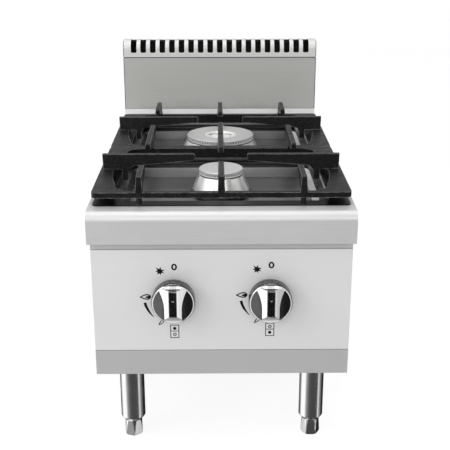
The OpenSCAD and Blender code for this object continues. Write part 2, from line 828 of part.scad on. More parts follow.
module ports(n, r, z) {
  cut_l = 16;
  for (i = [0 : n - 1]) rotate([0, 0, (i + 0.5) * 360 / n])
    translate([r, 0, z]) cube([cut_l, port_w, port_h], center = true);
}

module burner_head_front() {
  wall_in = cap_f_r - 6.5;
  color(alloy) translate([0, burner_f, deck]) difference() {
    rotate_extrude() polygon([
      [throat_r - 3, head_f_low - 5], [throat_r - lift_clear, head_f_low - 5],
      [throat_r - lift_clear, head_f_low], [cap_f_r - 3, head_f_low],
      [cap_f_r - 3, head_f_low + groove_h], [cap_f_r - 0.5, head_f_low + groove_h],
      [cap_f_r - 0.5, head_f_top], [wall_in, head_f_top], [wall_in, head_f_low + 3],
      [throat_r - 3, head_f_low + 3]
    ]);
    ports(ports_f, cap_f_r, head_f_top - port_down - port_h / 2);
  }
}

module burner_cap_front() {
  spigot = cap_f_r - 6.5 - lift_clear;
  color(alloy) translate([0, burner_f, deck]) rotate_extrude() polygon([
    [0, cap_f_up - cap_t + 1.5], [spigot - 3, cap_f_up - cap_t + 1.5], [spigot - 3, head_f_top - 3],
    [spigot, head_f_top - 3], [spigot, head_f_top], [cap_f_r, head_f_top],
    [cap_f_r, cap_f_up - 1.2], [cap_f_r - 1.5, cap_f_up], [cap_f_r - 7, cap_f_up],
    [cap_f_r - 8, cap_f_up - 0.5], [8, cap_f_up - 0.5], [7, cap_f_up], [0, cap_f_up]
  ]);
}

module burner_base_rear() {
  top_r = cap_r_r + 1;
  air_r = cap_r_hole - 1;
  z_low = -rail_down - sheet - 4;
  color(alloy) difference() {
    union() {
      translate([0, burner_r, deck]) rotate_extrude() polygon([
        [air_r - 3, tray_floor + 8], [air_r, tray_floor + 8], [air_r, head_r_low - cast_t],
        [top_r - cast_t, head_r_low - cast_t], [base_r_r - cast_t, tray_floor],
        [base_r_r, tray_floor], [base_r_r, tray_floor + 2], [top_r, head_r_low - 1],
        [top_r - 1, head_r_low], [air_r - 3, head_r_low]
      ]);
      translate([0, throat_r_y, deck + z_low])
        cylinder(r = throat_out, h = head_r_low - z_low - 1);
      translate([0, throat_r_y, deck - rail_down]) cylinder(r = throat_out + 4, h = 4);
    }
    translate([0, throat_r_y, deck + z_low - 1]) cylinder(r = throat_r, h = head_r_low - z_low + 2);
  }
}

module burner_head_rear() {
  out_in = cap_r_r - 6.5;
  hole_out = cap_r_hole + 6;
  color(alloy) translate([0, burner_r, deck]) difference() {
    rotate_extrude() polygon([
      [cap_r_hole, head_r_low], [cap_r_r - 3, head_r_low], [cap_r_r - 3, head_r_low + groove_h],
      [cap_r_r - 0.5, head_r_low + groove_h], [cap_r_r - 0.5, head_r_top], [out_in, head_r_top],
      [out_in, head_r_low + 3], [hole_out, head_r_low + 3], [hole_out, head_r_top], [cap_r_hole, head_r_top]
    ]);
    ports(ports_r, cap_r_r, head_r_top - port_down - port_h / 2);
    translate([0, -throat_off, head_r_low - 1]) cylinder(r = throat_r - 4, h = 6);
  }
}

// The rear cap is a flat ring round a dish with four curved air slots.
module burner_cap_rear() {
  out_sp = cap_r_r - 6.5 - lift_clear;
  in_sp = cap_r_hole + 6 + lift_clear;
  floor_z = cap_r_up - dish_d;
  floor_r = cap_r_hole - 3;
  slot_out = floor_r - 0.5;
  slot_in = 0.77 * slot_out;
  boss_r = 0.5 * slot_out;
  color(alloy) translate([0, burner_r, deck]) difference() {
    rotate_extrude() polygon([
      [cap_r_r, head_r_top], [cap_r_r, cap_r_up - 1.2], [cap_r_r - 1.5, cap_r_up],
      [dish_r, cap_r_up], [dish_r - 3, cap_r_up - 1.4], [cap_r_hole - 1, cap_r_up - 1.8],
      [floor_r, floor_z], [boss_r, floor_z], [boss_r - 1.5, floor_z + 1.2], [0, floor_z + 1.2],
      [0, floor_z - 2], [cap_r_hole - lift_clear, floor_z - 2], [cap_r_hole - lift_clear, head_r_top],
      [in_sp, head_r_top], [in_sp, head_r_top - 3], [in_sp + 3, head_r_top - 3],
      [in_sp + 3, head_r_top + 1], [out_sp - 3, head_r_top + 1], [out_sp - 3, head_r_top - 3],
      [out_sp, head_r_top - 3], [out_sp, head_r_top]
    ]);
    for (a = [45 : 90 : 315]) translate([0, 0, floor_z - 3]) rotate([0, 0, a])
      linear_extrude(4) intersection() {
        difference() {
          circle(slot_out);
          circle(slot_in);
        }
        polygon([[0, 0], [2 * slot_out, -1.3 * slot_out], [2 * slot_out, 1.3 * slot_out]]);
      }
  }
}

// A mixing tube: a socket under the rail, an elbow and a tube forward to its mouth
module mixer(yc, z) {
  z_web = deck - rail_down - sheet;
  socket_r = throat_out + fit_clear;
  color(iron) difference() {
    union() {
      translate([0, yc, z]) cylinder(r = throat_out, h = z_web - 4 - z);
      translate([0, yc, z_web - 8]) cylinder(r = socket_r + 3, h = 8);
      translate([0, yc, z]) sphere(throat_out);
      translate([0, 0, z]) rod_y(throat_out, mouth_y + mouth_l, yc);
      translate([0, 0, z]) rod_y(mouth_r, mouth_y, mouth_y + mouth_l);
    }
    translate([0, yc, z_web - 4]) cylinder(r = socket_r, h = 5);
    translate([0, yc, z]) cylinder(r = throat_r, h = z_web - z);
    translate([0, yc, z]) sphere(throat_r);
    translate([0, 0, z]) rod_y(throat_r, mouth_y + 4, yc);
    translate([0, 0, z]) rod_y(5, mouth_y - 1, mouth_y + 5);
    translate([0, mouth_y, z]) for (a = [45 : 90 : 315]) rotate([0, a, 0])
      translate([throat_r - 2, 0, 0]) rod_y(3.6, -1, 5);
  }
}

module mixer_front() { mixer(burner_f, mix_f_z); }
module mixer_rear() { mixer(throat_r_y, mix_r_z); }

module injector(z) {
  color(brass) translate([0, mouth_y, z]) {
    translate([0, -injector_l, 0]) rotate([-90, 0, 0]) cylinder(r = 8, h = injector_l, $fn = 6);
    rod_y(5 - fit_clear, -1, 9);
  }
}

module injector_front() { injector(mix_f_z); }
module injector_rear() { injector(mix_r_z); }

// Channels across the body that carry the burners
module burner_rail(yc) {
  z1 = deck - rail_down;
  color(steel) difference() {
    union() {
      block([-in_x, in_x], [yc - rail_w / 2, yc + rail_w / 2], [z1 - sheet, z1]);
      for (y = [yc - rail_w / 2, yc + rail_w / 2 - sheet])
        block([-in_x, in_x], [y, y + sheet], [z1 - rail_h, z1 - sheet]);
    }
    translate([0, yc, z1 - 2 * sheet]) cylinder(r = throat_out + fit_clear, h = 4 * sheet);
  }
}

module burner_rail_front() { burner_rail(burner_f); }
module burner_rail_rear() { burner_rail(throat_r_y); }

module heat_shield() {
  y0 = panel_y + shield_back;
  hole_r = mouth_r + 1;
  color(steel) difference() {
    block([-in_x, in_x], [y0, y0 + sheet], [pan_top, deck - shield_down]);
    for (z = [mix_f_z, mix_r_z])
      translate([0, 0, z]) rod_y(hole_r, y0 - 1, y0 + sheet + 1);
    translate([pipe_x, 0, knob_z]) rod_y(pipe_r + 1.5, y0 - 1, y0 + sheet + 1);
  }
}

// Gas train: the manifold runs behind the valves, turns and goes back to the inlet
module gas_manifold() {
  end_x = -knob_x - 26;
  color(dark_steel) difference() {
    union() {
      translate([0, pipe_y, knob_z]) rod_x(pipe_r, end_x, pipe_x);
      translate([pipe_x, pipe_y, knob_z]) sphere(pipe_r);
      translate([pipe_x, 0, knob_z]) rod_y(pipe_r, pipe_y, in_rear - 20);
    }
    translate([0, pipe_y, knob_z]) rod_x(pipe_r - 2.5, end_x + 3, pipe_x);
    translate([pipe_x, pipe_y, knob_z]) sphere(pipe_r - 2.5);
    translate([pipe_x, 0, knob_z]) rod_y(pipe_r - 2.5, pipe_y, in_rear - 19);
  }
}

module inlet_fitting() {
  y_end = back_y + inlet_out;
  color(brass) translate([pipe_x, 0, knob_z]) difference() {
    union() {
      translate([0, in_rear - 24, 0]) rotate([-90, 0, 0]) cylinder(r = inlet_r + 5, h = 24, $fn = 6);
      rod_y(inlet_r - 1, in_rear - 1, y_end);
      rod_y(inlet_r, y_end - inlet_l, y_end);
    }
    rod_y(pipe_r + fit_clear, in_rear - 25, in_rear - 20);
    rod_y(pipe_r - 2.5, in_rear - 25, y_end + 1);
  }
}

// Local frame of a knob: X to the right, Y up, Z out of the panel towards the user
module at_knob(s) {
  translate([s * knob_x, panel_y, knob_z]) rotate([90, 0, 0]) children();
}

block_front = stem_in - 6;
valve_mid = (pipe_back + block_front) / 2 - 4;

module valve(s) {
  color(alloy) at_knob(s) difference() {
    union() {
      translate([0, 0, -block_front - 1]) cylinder(r = 11, h = block_front - 6);
      translate([-valve_w / 2, -valve_h / 2, -pipe_back])
        cube([valve_w, valve_h, pipe_back - block_front]);
      translate([0, valve_h / 2 - 1, -valve_mid]) rotate([-90, 0, 0]) cylinder(r = 7, h = outlet_l + 1);
    }
    translate([0, 0, -pipe_back]) rod_x(pipe_r + fit_clear, -40, 40);
    translate([0, 0, -stem_in - push - 1]) cylinder(r = stem_r + run_clear, h = stem_in + push);
    translate([0, 0, -stem_in - rod_l - push - 0.5]) cylinder(r = rod_r + run_clear, h = rod_l + push);
  }
}

module valve_left() { valve(-1); }
module valve_right() { valve(1); }

module valve_clamps() {
  clamp_in = 3;
  color(alloy) for (s = [-1, 1]) at_knob(s) difference() {
    translate([clamp_in - valve_w / 2, -valve_h / 2, -pipe_back - clamp_d])
      cube([valve_w - 2 * clamp_in, valve_h, clamp_d]);
    translate([0, 0, -pipe_back]) rod_x(pipe_r + fit_clear, -40, 40);
  }
}

flat_x = 2.6;

module valve_stem(s) {
  color(chrome) at_knob(s) difference() {
    translate([0, 0, -stem_in]) cylinder(r = stem_r, h = stem_in + knob_gap + skirt_h - 4);
    translate([flat_x, -stem_r - 1, knob_gap]) cube([stem_r, 2 * stem_r + 2, skirt_h]);
  }
}

module valve_stem_left() { valve_stem(-1); }
module valve_stem_right() { valve_stem(1); }

module push_rod(s) {
  color(brass) at_knob(s) translate([0, 0, -stem_in - rod_l]) cylinder(r = rod_r, h = rod_l);
}

module push_rod_left() { push_rod(-1); }
module push_rod_right() { push_rod(1); }

// Plan of one dark insert: a slice of the face, edged by a straight line and a flare
module insert_plan(s, edge) {
  face_r = knob_r - rim_w - edge;
  flare_y = -8;
  half = grip_w / 2 + edge;
  intersection() {
    circle(face_r);
    union() {
      translate([s * (half + flare_r), flare_y]) circle(flare_r, $fn = 96);
      translate([s > 0 ? half : -half - knob_r, -knob_r]) square([knob_r, knob_r + flare_y]);
    }
  }
}

face_z = knob_gap + skirt_h;

// Plan of the grip: the face between the flares, without the recess at the top
module grip_plan(r) {
  difference() {
    circle(r);
    insert_plan(-1, 0);
    insert_plan(1, 0);
    translate([-r, r - crescent]) square([2 * r, 2 * crescent]);
  }
}

module knob(s) {
  rim_in = knob_r - rim_w;
  floor_z = face_z - 2;
  grip_top_z = face_z + grip_h;
  slot_l = 14;
  color(chrome) at_knob(s) {
    difference() {
      rotate_extrude() polygon([
        [0, knob_gap + 1], [8, knob_gap + 1], [8, floor_z - 3], [rim_in - 1, floor_z - 3],
        [rim_in - 1, knob_gap], [knob_r - 1, knob_gap], [knob_r, knob_gap + 1],
        [knob_r, face_z - 3], [knob_r - 1, face_z - 0.8], [knob_r - 2, face_z],
        [rim_in, face_z], [rim_in, floor_z], [0, floor_z]
      ]);
      intersection() {
        cylinder(r = stem_r + run_clear, h = face_z - 4);
        translate([-knob_r, -knob_r, 0]) cube([knob_r + flat_x + run_clear, 2 * knob_r, face_z]);
      }
    }
    difference() {
      intersection() {
        translate([0, 0, floor_z - 0.5]) linear_extrude(grip_h + 3) grip_plan(rim_in + 0.5);
        along_y(-knob_r, knob_r) polygon([
          [-grip_wide / 2, 0], [grip_wide / 2, 0], [grip_wide / 2, face_z - 0.5],
          [grip_top / 2 + 3.5, grip_top_z - 3], [grip_top / 2, grip_top_z - 0.5],
          [grip_top / 2 - 1, grip_top_z], [1 - grip_top / 2, grip_top_z],
          [-grip_top / 2, grip_top_z - 0.5], [-grip_top / 2 - 3.5, grip_top_z - 3],
          [-grip_wide / 2, face_z - 0.5]
        ]);
        along_x(2 * knob_r) polygon([
          [-rim_in - 1, 0], [-rim_in - 1, face_z], [1 - rim_in, face_z],
          [1 - rim_in + grip_slope, grip_top_z - 0.5], [3 - rim_in + grip_slope, grip_top_z],
          [rim_in - crescent - 3, grip_top_z],
          [rim_in - crescent - 1, grip_top_z - 1], [rim_in - crescent, grip_top_z - 3], [rim_in - crescent, 0]
        ]);
      }
      translate([0, rim_in - crescent - 3.5 - slot_l / 2, grip_top_z - 1.5]) linear_extrude(2)
        round_rect(4.2, slot_l, 2, $fn = 24);
    }
  }
}

module knob_left() { knob(-1); }
module knob_right() { knob(1); }

module knob_inserts(s) {
  color(dark) at_knob(s) translate([0, 0, face_z - 2])
    linear_extrude(insert_t) for (i = [-1, 1]) insert_plan(i, 0.15);
}

module knob_inserts_left() { knob_inserts(-1); }
module knob_inserts_right() { knob_inserts(1); }

// Supply tubes: straight runs with a ball at each bend
module tube_run(points, r) {
  for (i = [0 : len(points) - 2]) {
    a = points[i];
    b = points[i + 1];
    d = b - a;
    if (i > 0) translate(a) sphere(r, $fn = 32);
    translate(a)
      if (abs(d[0]) > 0.001) rod_x(r, min(0, d[0]), max(0, d[0]));
      else if (abs(d[1]) > 0.001) rod_y(r, min(0, d[1]), max(0, d[1]));
      else translate([0, 0, min(0, d[2])]) cylinder(r = r, h = abs(d[2]));
  }
}

outlet_y = panel_y + valve_mid;
inject_y = mouth_y - injector_l;

// The left knob works the rear burner and the right knob the front one.
module supply_tube_left() {
  color(brass) tube_run([
    [-knob_x, outlet_y, outlet_z], [-knob_x, outlet_y, cross_z], [0, outlet_y, cross_z],
    [0, outlet_y, mix_r_z], [0, inject_y, mix_r_z]
  ], tube_r);
}

module supply_tube_right() {
  color(brass) tube_run([
    [knob_x, outlet_y, outlet_z], [knob_x, outlet_y, mix_f_z], [0, outlet_y, mix_f_z],
    [0, inject_y, mix_f_z]
  ], tube_r);
}

module tube_nuts() {
  bore = tube_r + fit_clear;
  color(brass) {
    for (s = [-1, 1]) translate([s * knob_x, outlet_y, outlet_z]) difference() {
      cylinder(r = nut_r, h = nut_h, $fn = 6);
      translate([0, 0, -1]) cylinder(r = bore, h = nut_h + 2);
    }
    for (z = [mix_f_z, mix_r_z]) translate([0, inject_y, z]) rotate([90, 0, 0]) difference() {
      cylinder(r = nut_r, h = nut_h, $fn = 6);
      translate([0, 0, -1]) cylinder(r = bore, h = nut_h + 2);
    }
  }
}

// Ignition: a collar stands on the tray's floor, the rod passes through it
module spark_electrode(yc, up) {
  color("white") translate([spark_x, yc, deck]) {
    translate([0, 0, tray_floor]) cylinder(r = spark_r + 3, h = 3);
    translate([0, 0, -well_d - probe_below]) cylinder(r = spark_r, h = up + well_d + probe_below);
    translate([0, 0, up - 1]) cylinder(r = 1.1, h = 5);
  }
}

module thermocouple(yc, up) {
  color(brass) translate([spark_x - probe_gap, yc, deck]) {
    translate([0, 0, tray_floor]) cylinder(r = spark_r + 3, h = 4, $fn = 6);
    translate([0, 0, -well_d - probe_below])
      cylinder(r = spark_r - 0.6, h = up + well_d + probe_below);
  }
}

probe_f_y = burner_f + base_f_r + spark_off;
probe_r_y = burner_r + base_r_r + spark_off;
module spark_electrode_front() { spark_electrode(probe_f_y, 8); }
module spark_electrode_rear() { spark_electrode(probe_r_y, 8); }
module thermocouple_front() { thermocouple(probe_f_y, 12); }
module thermocouple_rear() { thermocouple(probe_r_y, 4); }

top_frame();
side_panel_left();
side_panel_right();
base_pan();
kick_rail();
front_cross_rail();
control_panel();
rear_panel();
rear_screws();
flue_front();
flue_shell();
vent_cover();
leg_front_left();
leg_front_right();
leg_rear_left();
leg_rear_right();
foot_front_left();
foot_front_right();
foot_rear_left();
foot_rear_right();
leg_bolts();
spill_tray_front();
spill_tray_rear();
grate_front();
grate_rear();
burner_base_front();
burner_head_front();
burner_cap_front();
burner_base_rear();
burner_head_rear();
burner_cap_rear();
mixer_front();
mixer_rear();
injector_front();
injector_rear();
burner_rail_front();
burner_rail_rear();
heat_shield();
gas_manifold();
inlet_fitting();
valve_left();
valve_right();
valve_clamps();
valve_stem_left();
valve_stem_right();
push_rod_left();
push_rod_right();
knob_left();
knob_right();
knob_inserts_left();
knob_inserts_right();
supply_tube_left();
supply_tube_right();
tube_nuts();
spark_electrode_front();
spark_electrode_rear();
thermocouple_front();
thermocouple_rear();
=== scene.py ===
import json
import math
import bmesh
import bpy
import numpy as np
from mathutils import Matrix, Vector


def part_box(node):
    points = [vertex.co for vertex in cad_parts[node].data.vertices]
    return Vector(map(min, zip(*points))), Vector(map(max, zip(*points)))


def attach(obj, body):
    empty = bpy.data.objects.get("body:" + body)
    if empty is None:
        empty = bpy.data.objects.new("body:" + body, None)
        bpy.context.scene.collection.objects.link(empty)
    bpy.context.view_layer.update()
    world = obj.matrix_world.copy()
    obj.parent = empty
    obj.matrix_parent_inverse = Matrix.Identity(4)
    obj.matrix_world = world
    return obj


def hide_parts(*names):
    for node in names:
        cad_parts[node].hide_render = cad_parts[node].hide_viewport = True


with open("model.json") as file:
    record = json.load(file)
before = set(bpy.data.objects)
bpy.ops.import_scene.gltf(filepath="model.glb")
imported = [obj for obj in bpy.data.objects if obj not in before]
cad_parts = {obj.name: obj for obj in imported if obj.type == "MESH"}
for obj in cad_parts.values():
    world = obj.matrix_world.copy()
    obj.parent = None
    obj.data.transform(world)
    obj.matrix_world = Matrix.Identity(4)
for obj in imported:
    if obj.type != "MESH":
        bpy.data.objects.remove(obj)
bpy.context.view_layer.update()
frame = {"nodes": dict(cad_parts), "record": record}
scene = bpy.context.scene
nodes = frame["nodes"]
bodyOf = {n: b for b, ns in frame["record"]["behaviour"]["bodies"].items() for n in ns}
slotOf = {s["node"]: s["material_slot"] for s in frame["record"]["subparts"]}
print("frame loaded:", len(nodes), "nodes")

mm = 0.001


# Places that several pieces share, taken from the frame
def middle(node):
    low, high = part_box(node)
    return (low + high) / 2


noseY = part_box("top_frame")[0].y
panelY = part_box("control_panel")[0].y
knobAxis = middle("valve_stem_right")
knobLow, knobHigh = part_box("knob_right")
knobFront, knobRadius = knobLow.y, (knobHigh.x - knobLow.x) / 2
trayLow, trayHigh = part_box("spill_tray_front")
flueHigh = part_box("flue_shell")[1]
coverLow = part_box("vent_cover")[0]


# Mesh helpers
def addMesh(name, verts, faces):
    mesh = bpy.data.meshes.new(name)
    mesh.from_pydata(np.asarray(verts, float).tolist(), [], faces)
    piece = bpy.data.objects.new(name, mesh)
    scene.collection.objects.link(piece)
    return piece


def recalcNormals(piece):
    bm = bmesh.new()
    bm.from_mesh(piece.data)
    bmesh.ops.remove_doubles(bm, verts=bm.verts, dist=0.001 * mm)
    bmesh.ops.recalc_face_normals(bm, faces=bm.faces)
    bm.to_mesh(piece.data)
    bm.free()


# Material helpers
def newMaterial(name):
    material = bpy.data.materials.new(name)
    material.use_nodes = True
    tree = material.node_tree
    return material, tree, tree.nodes["Principled BSDF"]


def node(tree, kind, **sockets):
    made = tree.nodes.new(kind)
    for key, value in sockets.items():
        made.inputs[key].default_value = value
    return made


# A colour with its alpha; one number stands for a grey
def rgba(colour):
    return (*colour, 1) if isinstance(colour, tuple) else (colour, colour, colour, 1)


def scaled(colour, factor):
    return tuple(min(1, c * factor) for c in colour)


# Feeds a socket from another one, or sets its number or colour
def feed(tree, value, socket):
    if isinstance(value, bpy.types.NodeSocket):
        tree.links.new(value, socket)
    else:
        socket.default_value = rgba(value) if socket.type == "RGBA" else value


def combine(tree, operation, first, second=0.0):
    made = node(tree, "ShaderNodeMath")
    made.operation = operation
    feed(tree, first, made.inputs[0])
    feed(tree, second, made.inputs[1])
    return made.outputs[0]


def mixColour(tree, share, first, second, blend="MIX"):
    made = node(tree, "ShaderNodeMix")
    made.data_type = "RGBA"
    made.blend_type = blend
    feed(tree, share, made.inputs["Factor"])
    feed(tree, first, made.inputs[6])
    feed(tree, second, made.inputs[7])
    return made.outputs[2]


def ramp(tree, value, stops):
    made = node(tree, "ShaderNodeValToRGB")
    elements = made.color_ramp.elements
    while len(elements) < len(stops):
        elements.new(0.5)
    for element, (position, colour) in zip(elements, stops):
        element.position = position
        element.color = rgba(colour)
    tree.links.new(value, made.inputs["Fac"])
    return made.outputs["Color"]


# Takes one range to another, by default the range in which most noise lies
def remap(tree, value, low, high, fromLow=0.3, fromHigh=0.7):
    made = node(tree, "ShaderNodeMapRange")
    made.inputs["From Min"].default_value = fromLow
    made.inputs["From Max"].default_value = fromHigh
    made.inputs["To Min"].default_value = low
    made.inputs["To Max"].default_value = high
    tree.links.new(value, made.inputs["Value"])
    return made.outputs["Result"]


# Noise in object coordinates, with a scale in lumps per metre for each axis
def stretchedNoise(tree, scale, detail=3.0, roughness=0.5):
    mapping = node(tree, "ShaderNodeMapping", Scale=scale)
    noise = node(tree, "ShaderNodeTexNoise", Detail=detail, Roughness=roughness, Scale=1.0)
    tree.links.new(node(tree, "ShaderNodeTexCoord").outputs["Object"], mapping.inputs["Vector"])
    tree.links.new(mapping.outputs["Vector"], noise.inputs["Vector"])
    return noise.outputs["Fac"]


def evenNoise(tree, scale, detail=3.0, roughness=0.5):
    return stretchedNoise(tree, (scale, scale, scale), detail, roughness)


def addBump(tree, shader, height, strength, distance):
    bump = node(tree, "ShaderNodeBump", Strength=strength, Distance=distance)
    tree.links.new(height, bump.inputs["Height"])
    tree.links.new(bump.outputs["Normal"], shader.inputs["Normal"])


def axisOf(tree, vector, axis):
    split = node(tree, "ShaderNodeSeparateXYZ")
    tree.links.new(vector, split.inputs[0])
    return split.outputs[axis]


def place(tree, axis):
    return axisOf(tree, node(tree, "ShaderNodeTexCoord").outputs["Object"], axis)


def facing(tree, axis):
    return axisOf(tree, node(tree, "ShaderNodeNewGeometry").outputs["Normal"], axis)


# 1 above a value and 0 below it, or the reverse, with a soft edge
softEdge = 0.4 * mm


def above(tree, value, edge):
    return remap(tree, value, 0, 1, edge - softEdge, edge + softEdge)


def below(tree, value, edge):
    return remap(tree, value, 1, 0, edge - softEdge, edge + softEdge)


def between(tree, value, low, high):
    return combine(tree, "MULTIPLY", above(tree, value, low), below(tree, value, high))


# Length of two sides at right angles
def reachOf(tree, first, second):
    squares = combine(tree, "ADD", combine(tree, "MULTIPLY", first, first),
                      combine(tree, "MULTIPLY", second, second))
    return combine(tree, "SQRT", squares)


# How far a place is to the right of the nearer knob's axis, and how far above it
def fromKnobAxis(tree):
    across = place(tree, "X")
    axisX = combine(tree, "MULTIPLY", combine(tree, "SIGN", across), abs(knobAxis.x))
    rise = combine(tree, "SUBTRACT", place(tree, "Z"), knobAxis.z)
    return combine(tree, "SUBTRACT", across, axisX), rise


shadingSamples = {"corners": 8, "edges": 6}
wearAndHighlightAngle = {"edge": 0.8, "flat": 0.985}  # cosines between the rounded normal and the flat one


# Painted shade: darkens a colour where the space in front of it is closed in, from dark to clear
def paintCornerShade(tree, tint, distance, dark, clear, darkest):
    openness = node(tree, "ShaderNodeAmbientOcclusion", Distance=distance)
    openness.samples = shadingSamples["corners"]
    paintedShade = ramp(tree, openness.outputs["AO"], [(dark, darkest), (clear, 1.0)])
    return mixColour(tree, 1.0, tint, paintedShade, "MULTIPLY")


# Near an edge the normal of a rounded edge differs from the flat one
def edgeShare(tree, radius):
    bevel = node(tree, "ShaderNodeBevel", Radius=radius)
    bevel.samples = shadingSamples["edges"]
    both = node(tree, "ShaderNodeVectorMath")
    both.operation = "DOT_PRODUCT"
    tree.links.new(bevel.outputs["Normal"], both.inputs[0])
    tree.links.new(node(tree, "ShaderNodeNewGeometry").outputs["Normal"], both.inputs[1])
    return remap(tree, both.outputs["Value"], 1, 0, wearAndHighlightAngle["edge"], wearAndHighlightAngle["flat"])


# Sheet steel brushed along X: streaks in colour, roughness and bump, and soft smudges
brushed = {"along": 9, "across": 2600, "smudges": 7, "roughSpread": 0.12, "bump": 0.12,
           "depth": 0.06 * mm, "cornerDark": 0.28, "darkest": 0.03}
# The flue: painted shade on its back wall, which shows through the slots, with a painted shadow line
# under the cover's lip and along the front's two sides
flueLook = {"paintedBackShade": 0.006, "paintedBackShadeDepth": 5.5 * mm, "seam": 0.05, "lipSeam": 1.6 * mm,
            "sideSeam": 1.4 * mm, "forward": -0.6, "notForward": -0.3}


def brushedSteel(name, colour, rough, metallic, spread=0.06, corner=None, openAt=0.75,
                 ofFlue=False):
    material, tree, shader = newMaterial(name)
    streaks = stretchedNoise(tree, (brushed["along"], brushed["across"], brushed["across"]), 3.0, 0.6)
    smudges = evenNoise(tree, brushed["smudges"])
    tint = ramp(tree, streaks, [(0.25, scaled(colour, 1 - spread)), (0.75, scaled(colour, 1 + spread))])
    # Painted shade where the space in front of the steel is closed in
    if corner:
        tint = paintCornerShade(tree, tint, corner, brushed["cornerDark"], openAt, brushed["darkest"])
    if ofFlue:
        # Painted shade on the flue's back wall, seen through the slots
        forward = remap(tree, facing(tree, "Y"), 1, 0, flueLook["forward"], flueLook["notForward"])
        backWall = above(tree, place(tree, "Y"), flueHigh.y - flueLook["paintedBackShadeDepth"])
        tint = mixColour(tree, combine(tree, "MULTIPLY", forward, backWall), tint, flueLook["paintedBackShade"])
        # Painted shadow lines under the cover's lip and down the front's two sides
        lip = between(tree, place(tree, "Z"), coverLow.z - flueLook["lipSeam"], coverLow.z)
        fromMiddle = combine(tree, "ABSOLUTE", place(tree, "X"))
        side = above(tree, fromMiddle, flueHigh.x - flueLook["sideSeam"])
        seams = combine(tree, "MAXIMUM", lip, combine(tree, "MULTIPLY", side, forward))
        tint = mixColour(tree, seams, tint, flueLook["seam"])
    tree.links.new(tint, shader.inputs["Base Color"])
    low, high = rough * (1 - brushed["roughSpread"]), rough * (1 + brushed["roughSpread"])
    tree.links.new(remap(tree, smudges, low, high), shader.inputs["Roughness"])
    shader.inputs["Metallic"].default_value = metallic
    addBump(tree, shader, streaks, brushed["bump"], brushed["depth"])
    return material


# Enamelled cast iron: a rough black skin, grey on its edges, partly wear and partly a painted highlight
iron = {"grain": 520, "lumps": 90, "edge": 1.8 * mm, "wearAndHighlight": 0.36, "specular": 0.22, "bump": 0.7,
        "depth": 0.5 * mm, "skin": [(0.38, (0.002, 0.002, 0.0021)), (0.55, (0.009, 0.009, 0.0094)),
                                    (0.7, (0.07, 0.07, 0.071))]}


def castIron():
    material, tree, shader = newMaterial("blackCastIron")
    grain = evenNoise(tree, iron["grain"], 5.0, 0.75)
    lumps = evenNoise(tree, iron["lumps"])
    patches = remap(tree, lumps, 0.1, 1.0, 0.35, 0.6)
    # Grey patches along the edges: wear, and a painted highlight
    wearAndHighlight = combine(tree, "MULTIPLY", edgeShare(tree, iron["edge"]), patches)
    tint = mixColour(tree, wearAndHighlight, ramp(tree, grain, iron["skin"]), iron["wearAndHighlight"])
    tree.links.new(tint, shader.inputs["Base Color"])
    tree.links.new(remap(tree, lumps, 0.32, 0.5), shader.inputs["Roughness"])
    shader.inputs["Specular IOR Level"].default_value = iron["specular"]
    addBump(tree, shader, combine(tree, "ADD", grain, lumps), iron["bump"], iron["depth"])
    return material


# The trays: polished steel, with painted shade in its corners and a painted shadow on the flange that
# the grate stands on.
# The walls that face left have a painted highlight, but not near the front.
tray = {"streaks": (8, 1500, 1500), "clouds": 11, "corner": 50 * mm, "cornerDark": 0.48,
        "cornerOpen": 0.9, "darkest": 0.005, "flange": 0.01, "flangeDepth": 1.7 * mm,
        "wall": 0.9, "wallMetallic": 0.3, "frontFrom": 35 * mm, "frontTo": 45 * mm,
        "leftward": -0.6, "notLeftward": -0.2,
        "bump": 0.08, "depth": 0.04 * mm}


def polishedTray():
    material, tree, shader = newMaterial("polishedTray")
    streaks = stretchedNoise(tree, tray["streaks"])
    clouds = evenNoise(tree, tray["clouds"], 2.0)
    tint = ramp(tree, streaks, [(0.25, (0.2, 0.2, 0.202)), (0.75, (0.3, 0.3, 0.303))])
    # Painted shade in the tray's corners
    tint = paintCornerShade(tree, tint, tray["corner"], tray["cornerDark"], tray["cornerOpen"],
                         tray["darkest"])
    # Painted highlight on the walls that face left, behind the front
    behind = remap(tree, place(tree, "Y"), 0, 1, trayLow.y + tray["frontFrom"],
                   trayLow.y + tray["frontTo"])
    leftward = remap(tree, facing(tree, "X"), 1, 0, tray["leftward"], tray["notLeftward"])
    wall = combine(tree, "MULTIPLY", leftward, behind)
    tint = mixColour(tree, wall, tint, tray["wall"])
    # Painted shadow on the flange under the grate
    flange = above(tree, place(tree, "Z"), trayHigh.z - tray["flangeDepth"])
    tree.links.new(mixColour(tree, flange, tint, tray["flange"]), shader.inputs["Base Color"])
    tree.links.new(remap(tree, clouds, 0.28, 0.4), shader.inputs["Roughness"])
    tree.links.new(remap(tree, wall, 1, tray["wallMetallic"], 0, 1), shader.inputs["Metallic"])
    addBump(tree, shader, streaks, tray["bump"], tray["depth"])
    return material


# Cast or turned metal with an even grain. It may have painted shade in its corners, a painted shadow at
# its foot, and a painted highlight in a dish.
cast = {"clouds": 45, "darker": 0.9, "lighter": 1.07, "roughSpread": 0.15, "bump": 0.25,
        "depth": 0.1 * mm, "darkest": 0.01, "foot": 0.02, "footFade": 6 * mm}
# A painted highlight: the rear cap's dish painted near white
rearDish = {"centre": middle("burner_cap_rear"), "radius": 29.5 * mm, "colour": (0.96, 0.96, 0.95)}


